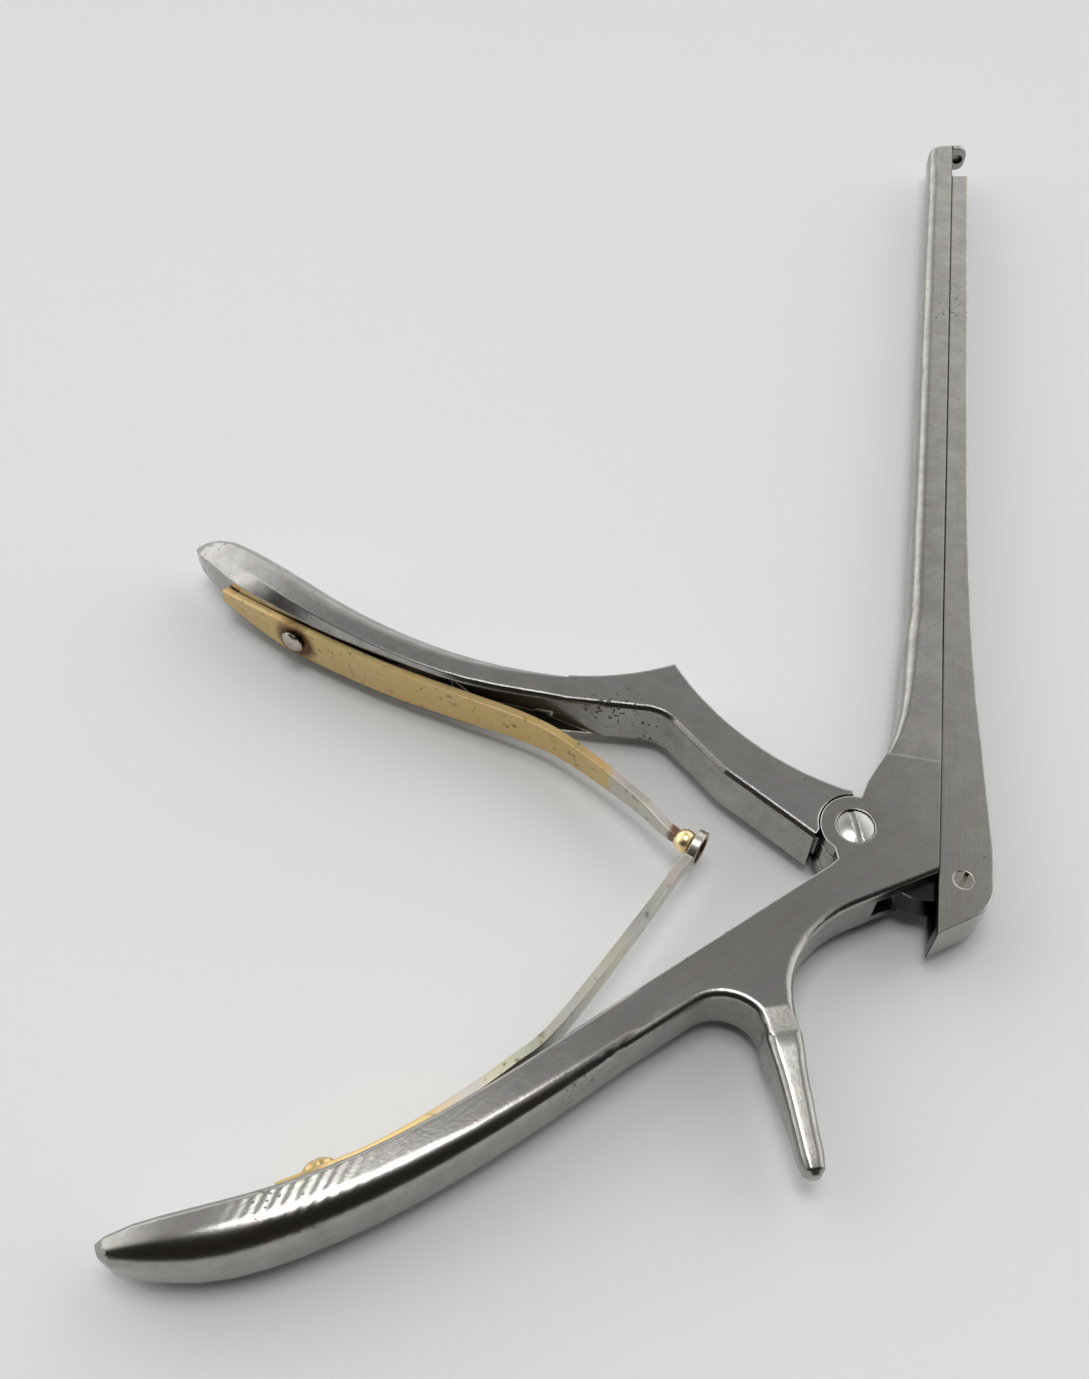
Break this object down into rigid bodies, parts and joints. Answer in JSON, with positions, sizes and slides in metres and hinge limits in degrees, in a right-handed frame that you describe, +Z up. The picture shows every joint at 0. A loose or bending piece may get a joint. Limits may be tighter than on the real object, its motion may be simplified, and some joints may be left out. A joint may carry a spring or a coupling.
{
  "type": "bone rongeur",
  "caption": "Hand-held bone punch: squeezing the sprung handles slides a slim bar along the shaft until its end closes on a hooked footplate.",
  "frame": {"origin": "middle of the instrument's footprint, on the surface that it lies on", "axes": "+Z up, along the pivot screw; +Y along the shaft towards the jaws; +X from the grips towards the slide"},
  "size_m": [0.1326, 0.264, 0.0125],
  "materials": {
    "forged_steel": "satin, finely brushed, with dark wear marks",
    "handle_steel": "satin, finely brushed, with pits on the inner face",
    "slide_steel": "satin, brushed along its length",
    "screw_nickel": "polished nickel",
    "screw_steel": "ground flush",
    "leaf_brass": "worn gold-toned plating",
    "leaf_silver": "worn silver plating with a warm tint",
    "ball_brass": "polished",
    "screw_brass": "polished, worn"
  },
  "bodies": {
    "frame": {"frame": "forged_steel", "pivot_screw": "screw_nickel", "lower_leaf_screw": "screw_brass"},
    "handle": {"moving_handle": "handle_steel", "upper_leaf_screw": "screw_nickel"},
    "slide": {"slide": "slide_steel", "drive_screw": "screw_steel"},
    "upper_spring": {"upper_leaf": "leaf_brass", "spring_ball": "ball_brass"},
    "lower_spring": {"lower_leaf": "leaf_silver"}
  },
  "joints": [
    {"name": "handle_hinge", "type": "hinge", "parent": "frame", "child": "handle", "pos_m": [0.04608, -0.05321, 0.00625], "axis": [0, 0, 1], "range_deg": [0, 36.2], "stiffness_Nm_per_rad": 1.2, "springref_deg": -8.59},
    {"name": "slide_travel", "type": "slide", "parent": "frame", "child": "slide", "axis": [0, 1, 0], "range_m": [0, 0.0104]},
    {"name": "upper_leaf_flex", "type": "hinge", "parent": "handle", "child": "upper_spring", "pos_m": [-0.04492, -0.03182, 0.00625], "axis": [0, 0, 1], "range_deg": [0, 7.35]},
    {"name": "lower_leaf_flex", "type": "hinge", "parent": "frame", "child": "lower_spring", "pos_m": [-0.01682, -0.11701, 0.00625], "axis": [0, 0, 1], "range_deg": [-5.65, 0]}
  ],
  "couplings": [
    {"joint": "slide_travel", "follows": "handle_hinge", "m_per_rad": 0.01645},
    {"joint": "upper_leaf_flex", "follows": "handle_hinge", "ratio": 0.2016},
    {"joint": "lower_leaf_flex", "follows": "handle_hinge", "ratio": -0.1547}
  ]
}
